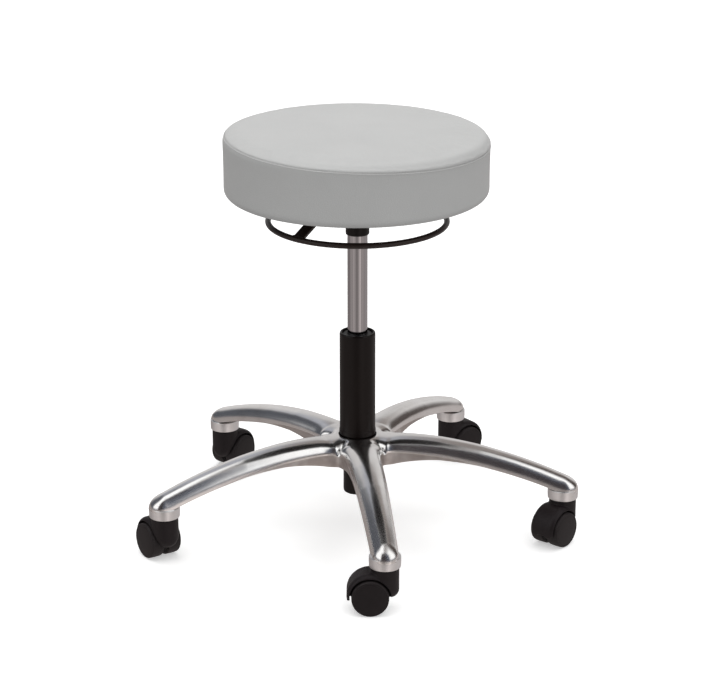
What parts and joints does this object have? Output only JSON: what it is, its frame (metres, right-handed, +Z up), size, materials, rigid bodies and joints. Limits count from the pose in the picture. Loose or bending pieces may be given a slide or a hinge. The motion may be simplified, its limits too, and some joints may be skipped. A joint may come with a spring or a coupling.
{
  "type": "exam stool",
  "caption": "Round backless stool with a cushioned swivel seat, ring-release gas lift, polished star base and hooded twin-wheel casters.",
  "frame": {"origin": "on the floor, on the axis of the column", "axes": "+Z up along the column; -Y towards the viewer of the picture, close to the front arm; +X to the viewer's right"},
  "size_m": [0.6161, 0.6132, 0.579],
  "materials": {
    "polished_aluminium": "polished, bright",
    "chrome": "plated tube",
    "bright_steel": "zinc plated",
    "black_coat": "satin powder coat",
    "ring_paint": "satin dark brown-black paint",
    "black_plastic": "moulded, matt",
    "grey_nylon": "turned",
    "black_rubber": "moulded",
    "grey_vinyl": "smooth light grey upholstery vinyl",
    "foam": "open-cell foam",
    "plywood": "sanded",
    "cambric": "woven dust cover"
  },
  "bodies": {
    "base": {"base_casting": "polished_aluminium", "outer_column": "black_coat", "guide_bush": "grey_nylon", "lower_race": "bright_steel", "caster_stem_1": "bright_steel", "caster_stem_2": "bright_steel", "caster_stem_3": "bright_steel", "caster_stem_4": "bright_steel", "caster_stem_5": "bright_steel"},
    "lift_rod": {"piston_rod": "bright_steel", "piston": "grey_nylon", "upper_race": "bright_steel", "rubber_bumper": "black_rubber", "retaining_clip": "bright_steel"},
    "seat": {"pressure_tube": "chrome", "rod_guide": "grey_nylon", "valve_body": "bright_steel", "seat_socket": "black_coat", "lever_bracket": "black_coat", "lever_pin": "bright_steel", "seat_plate": "black_coat", "seat_bolt_1": "bright_steel", "seat_bolt_2": "bright_steel", "seat_bolt_3": "bright_steel", "seat_bolt_4": "bright_steel", "tee_nut_1": "bright_steel", "tee_nut_2": "bright_steel", "tee_nut_3": "bright_steel", "tee_nut_4": "bright_steel", "dust_cover": "cambric", "seat_board": "plywood", "seat_foam": "foam", "seat_top_cover": "grey_vinyl", "seat_side_band": "grey_vinyl"},
    "release": {"release_ring": "ring_paint", "release_lever": "ring_paint"},
    "button": {"release_button": "bright_steel"},
    "caster_1": {"caster_hood_1": "black_plastic", "caster_axle_1": "bright_steel"},
    "wheel_1_l": {"wheel_1_left": "black_plastic"},
    "wheel_1_r": {"wheel_1_right": "black_plastic"},
    "caster_2": {"caster_hood_2": "black_plastic", "caster_axle_2": "bright_steel"},
    "wheel_2_l": {"wheel_2_left": "black_plastic"},
    "wheel_2_r": {"wheel_2_right": "black_plastic"},
    "caster_3": {"caster_hood_3": "black_plastic", "caster_axle_3": "bright_steel"},
    "wheel_3_l": {"wheel_3_left": "black_plastic"},
    "wheel_3_r": {"wheel_3_right": "black_plastic"},
    "caster_4": {"caster_hood_4": "black_plastic", "caster_axle_4": "bright_steel"},
    "wheel_4_l": {"wheel_4_left": "black_plastic"},
    "wheel_4_r": {"wheel_4_right": "black_plastic"},
    "caster_5": {"caster_hood_5": "black_plastic", "caster_axle_5": "bright_steel"},
    "wheel_5_l": {"wheel_5_left": "black_plastic"},
    "wheel_5_r": {"wheel_5_right": "black_plastic"}
  },
  "joints": [
    {"name": "seat_swivel", "type": "hinge", "parent": "base", "child": "lift_rod", "pos_m": [0, 0, 0.08], "axis": [0, 0, 1], "continuous": true},
    {"name": "seat_lift", "type": "slide", "parent": "lift_rod", "child": "seat", "axis": [0, 0, 1], "range_m": [-0.12, 0.02]},
    {"name": "release_ring_tilt", "type": "hinge", "parent": "seat", "child": "release", "pos_m": [-0.01699, -0.01968, 0.4801], "axis": [-0.757, 0.6534, 0], "range_deg": [0, 7], "stiffness_Nm_per_rad": 6, "springref_deg": -5.73},
    {"name": "release_button_press", "type": "slide", "parent": "seat", "child": "button", "axis": [0, 0, 1], "range_m": [-0.004, 0]},
    {"name": "caster_1_swivel", "type": "hinge", "parent": "base", "child": "caster_1", "pos_m": [0.03609, -0.28976, 0.06], "axis": [0, 0, 1], "continuous": true},
    {"name": "wheel_1_left_spin", "type": "hinge", "parent": "caster_1", "child": "wheel_1_l", "pos_m": [0.01679, -0.28976, 0.025], "axis": [0, -1, 0], "continuous": true},
    {"name": "wheel_1_right_spin", "type": "hinge", "parent": "caster_1", "child": "wheel_1_r", "pos_m": [0.01679, -0.28976, 0.025], "axis": [0, -1, 0], "continuous": true},
    {"name": "caster_2_swivel", "type": "hinge", "parent": "base", "child": "caster_2", "pos_m": [0.28673, -0.05522, 0.06], "axis": [0, 0, 1], "continuous": true},
    {"name": "wheel_2_left_spin", "type": "hinge", "parent": "caster_2", "child": "wheel_2_l", "pos_m": [0.27433, -0.07, 0.025], "axis": [0.766, -0.6428, 0], "continuous": true},
    {"name": "wheel_2_right_spin", "type": "hinge", "parent": "caster_2", "child": "wheel_2_r", "pos_m": [0.27433, -0.07, 0.025], "axis": [0.766, -0.6428, 0], "continuous": true},
    {"name": "caster_3_swivel", "type": "hinge", "parent": "base", "child": "caster_3", "pos_m": [0.14112, 0.25564, 0.06], "axis": [0, 0, 1], "continuous": true},
    {"name": "wheel_3_left_spin", "type": "hinge", "parent": "caster_3", "child": "wheel_3_l", "pos_m": [0.15653, 0.26725, 0.025], "axis": [-0.6018, 0.7986, 0], "continuous": true},
    {"name": "wheel_3_right_spin", "type": "hinge", "parent": "caster_3", "child": "wheel_3_r", "pos_m": [0.15653, 0.26725, 0.025], "axis": [-0.6018, 0.7986, 0], "continuous": true},
    {"name": "caster_4_swivel", "type": "hinge", "parent": "base", "child": "caster_4", "pos_m": [-0.19952, 0.21321, 0.06], "axis": [0, 0, 1], "continuous": true},
    {"name": "wheel_4_left_spin", "type": "hinge", "parent": "caster_4", "child": "wheel_4_l", "pos_m": [-0.1879, 0.22862, 0.025], "axis": [-0.7986, 0.6018, 0], "continuous": true},
    {"name": "wheel_4_right_spin", "type": "hinge", "parent": "caster_4", "child": "wheel_4_r", "pos_m": [-0.1879, 0.22862, 0.025], "axis": [-0.7986, 0.6018, 0], "continuous": true},
    {"name": "caster_5_swivel", "type": "hinge", "parent": "base", "child": "caster_5", "pos_m": [-0.26443, -0.12387, 0.06], "axis": [0, 0, 1], "continuous": true},
    {"name": "wheel_5_left_spin", "type": "hinge", "parent": "caster_5", "child": "wheel_5_l", "pos_m": [-0.27522, -0.10787, 0.025], "axis": [-0.829, -0.5592, 0], "continuous": true},
    {"name": "wheel_5_right_spin", "type": "hinge", "parent": "caster_5", "child": "wheel_5_r", "pos_m": [-0.27522, -0.10787, 0.025], "axis": [-0.829, -0.5592, 0], "continuous": true}
  ],
  "couplings": [
    {"joint": "release_button_press", "follows": "release_ring_tilt", "m_per_rad": -0.03}
  ]
}
